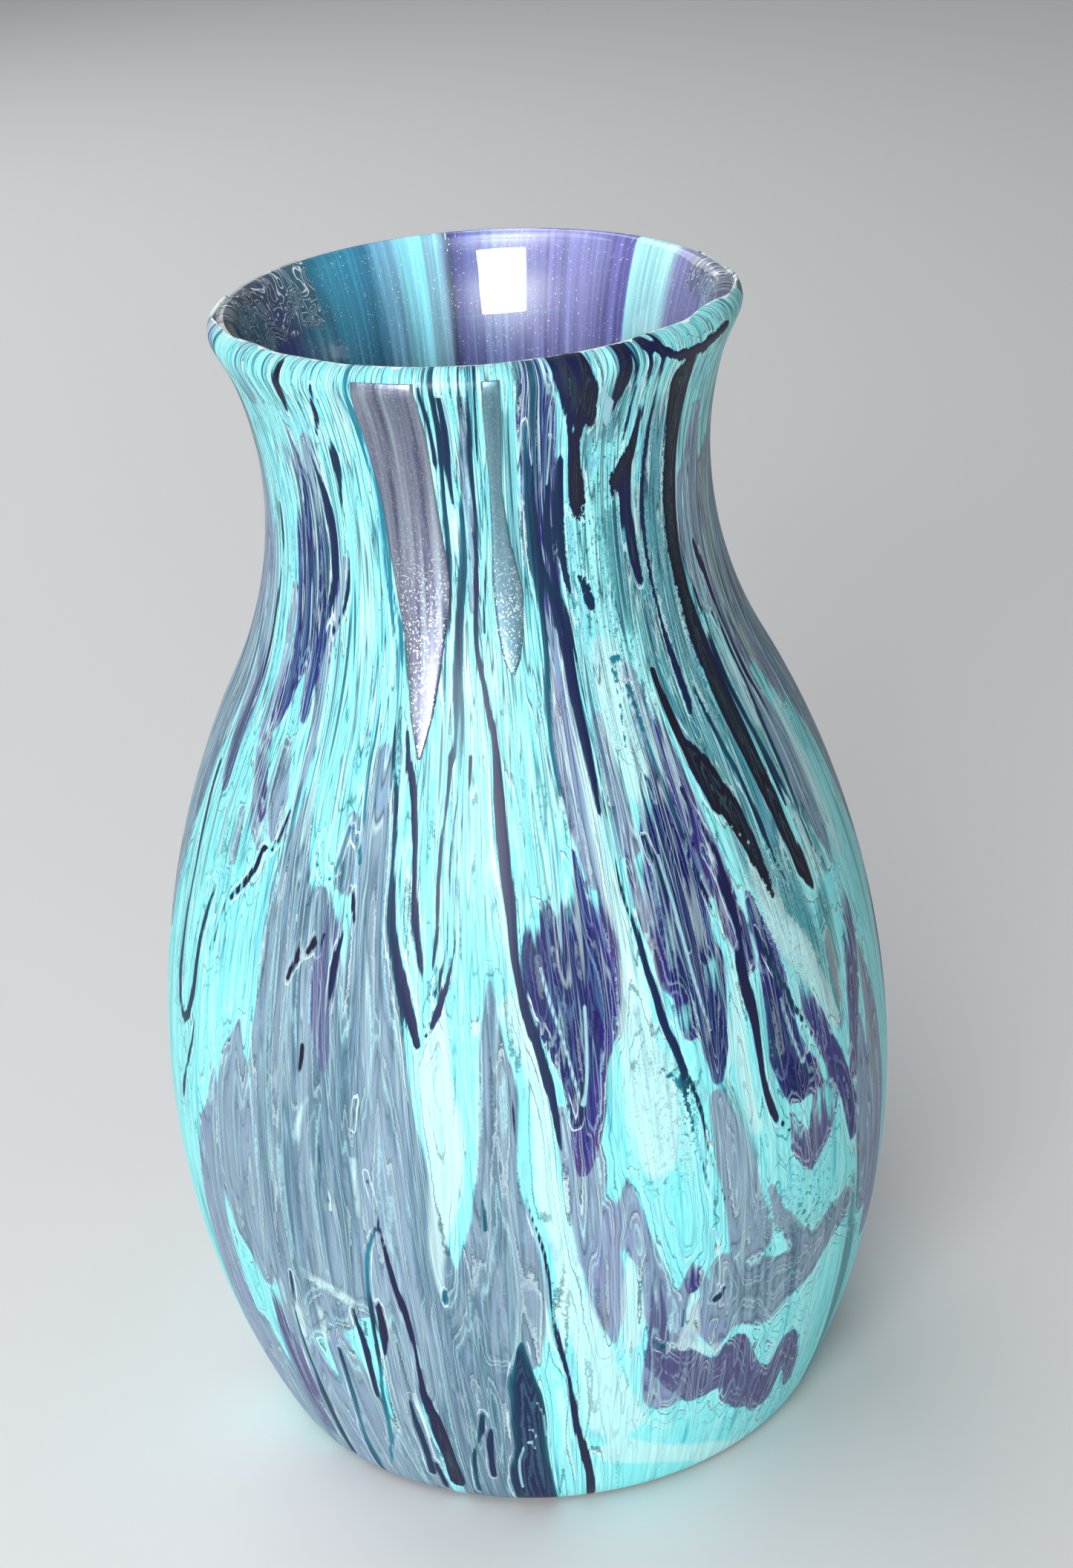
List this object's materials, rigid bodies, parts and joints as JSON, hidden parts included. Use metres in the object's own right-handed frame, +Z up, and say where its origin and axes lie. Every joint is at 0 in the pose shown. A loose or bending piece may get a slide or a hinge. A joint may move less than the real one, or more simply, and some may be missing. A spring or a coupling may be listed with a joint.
{
  "type": "vase",
  "caption": "Blown glass vase with a wide belly, narrow neck and flared lip, its outside covered by a marbled skin of poured paint with raised silver runs.",
  "frame": {"origin": "centre of the foot, on the table", "axes": "+Z up the vase's axis towards the mouth; -Y faces the viewer and +X is to the viewer's right"},
  "size_m": [0.1508, 0.1508, 0.24],
  "materials": {
    "glass": "polished clear blown glass",
    "ground_paint": "first coat of acrylic paint, seen gloss through the glass",
    "marbled_paint": "poured acrylic, aqua marbled with slate, purple and navy",
    "silver_paint": "poured metallic silver paint with flake",
    "clear_varnish": "satin clear varnish"
  },
  "bodies": {
    "root": {"glass_vessel": "glass", "ground_coat": "ground_paint", "poured_skin": "marbled_paint", "silver_run_long": "silver_paint", "silver_run_short": "silver_paint", "clear_coat": "clear_varnish", "lip_overrun": "clear_varnish"}
  },
  "joints": []
}
